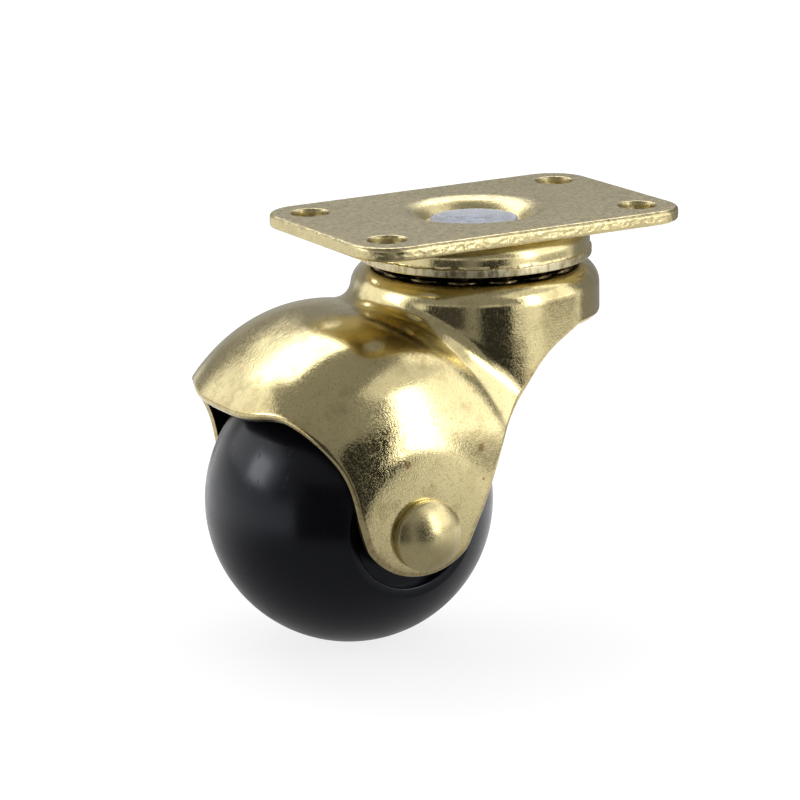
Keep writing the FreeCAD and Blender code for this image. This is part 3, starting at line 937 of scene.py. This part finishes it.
def softbox(name, azimuth, elevation, width, height, radiance, distance=0.7):
    """Area lamp facing the castor, sized by the angles that it fills."""
    lamp = bpy.data.lights.new(name, "AREA")
    lamp.shape = "RECTANGLE"
    lamp.size = 2 * distance * math.tan(math.radians(width / 2))
    lamp.size_y = 2 * distance * math.tan(math.radians(height / 2))
    lamp.energy = radiance * math.pi * lamp.size * lamp.size_y
    holder = bpy.data.objects.new(name, lamp)
    outward = direction(azimuth, elevation)
    holder.location = lit_point + outward * distance
    holder.rotation_euler = outward.to_track_quat("Z", "Y").to_euler()
    holder.visible_camera = False
    bpy.context.scene.collection.objects.link(holder)


def screen(name, start, end, top, radiance, distance):
    """Dark screen round the castor that only reflections see, from one azimuth to another."""
    turns = np.linspace(start, end, 9)
    feet = [lit_point + distance * direction(turn, 0) for turn in turns]
    mesh = bmesh.new()
    lower = [mesh.verts.new((foot.x, foot.y, floor_level)) for foot in feet]
    rise = distance * math.tan(math.radians(top))
    upper = [mesh.verts.new((foot.x, foot.y, lit_point.z + rise)) for foot in feet]
    for index in range(len(feet) - 1):
        mesh.faces.new((lower[index], lower[index + 1], upper[index + 1], upper[index]))
    cloth, tree = bare_finish(name + "_cloth")
    glowing(tree, radiance)
    reflected_only(new_piece(name, mesh, cloth))


softbox("right_strip", 54, 16, 14, 40, 4.4, 0.5)
softbox("right_softbox", 82, 21, 39, 35, 1.5)
softbox("right_top_softbox", 75, 50, 60, 22, 0.7)
softbox("right_back_softbox", 132, 50, 46, 30, 0.9)
softbox("left_softbox", -98, 25, 64, 30, 1.2)
softbox("left_lamp", -82, 20, 18, 16, 5.5, 0.68)
softbox("back_softbox", -162, 51, 62, 34, 3.4)
screen("left_screen", -40, -4, 16, 0.06, 0.105)
screen("lens_screen", -4, 9, 40, 0.30, 0.105)
screen("right_screen", 9, 37, 14, 0.03, 0.105)
screen("right_far_screen", 30, 47, -5, 0.03, 0.14)
screen("right_low_screen", 64, 100, -1.5, 0.5, 0.25)
screen("right_back_screen", 106, 180, 20, 0.30, 0.17)
screen("left_back_screen", -180, -145, 22, 0.45, 0.17)

world = bpy.data.worlds.new("studio")
bpy.context.scene.world = world
world.use_nodes = True
tree = world.node_tree
way = node(tree, "ShaderNodeTexCoord").outputs["Generated"]
height = node(tree, "ShaderNodeSeparateXYZ", {"Vector": way}).outputs["Z"]
tree.links.new(remap(tree, height, 0.05, 0.2, 1.0, 0.33), tree.nodes["Background"].inputs["Strength"])
tree.nodes["Background"].inputs["Color"].default_value = white

# Camera
# Placed as the photograph was taken: a long lens a little above the plate.
view_elevation = math.radians(14.78)
view_roll = math.radians(-1.09)
view_distance = 0.6
origin_right = 0.01280
origin_up = 0.03323
photo_lens = 155.52
backward = math.cos(view_elevation) * towards_camera + math.sin(view_elevation) * Vector((0, 0, 1))
level_right = Vector((0, 0, 1)).cross(backward).normalized()
level_up = backward.cross(level_right)
right = math.cos(view_roll) * level_right + math.sin(view_roll) * level_up
up = -math.sin(view_roll) * level_right + math.cos(view_roll) * level_up
lens = bpy.data.cameras.new("photo_camera")
lens.lens = photo_lens
lens.clip_start = 0.01
camera = bpy.data.objects.new("photo_camera", lens)
spot = backward * view_distance - right * origin_right - up * origin_up
camera.matrix_world = Matrix.Translation(spot) @ Matrix((right, up, backward)).transposed().to_4x4()
bpy.context.scene.collection.objects.link(camera)
bpy.context.scene.camera = camera
bpy.context.scene.view_settings.view_transform = "Standard"
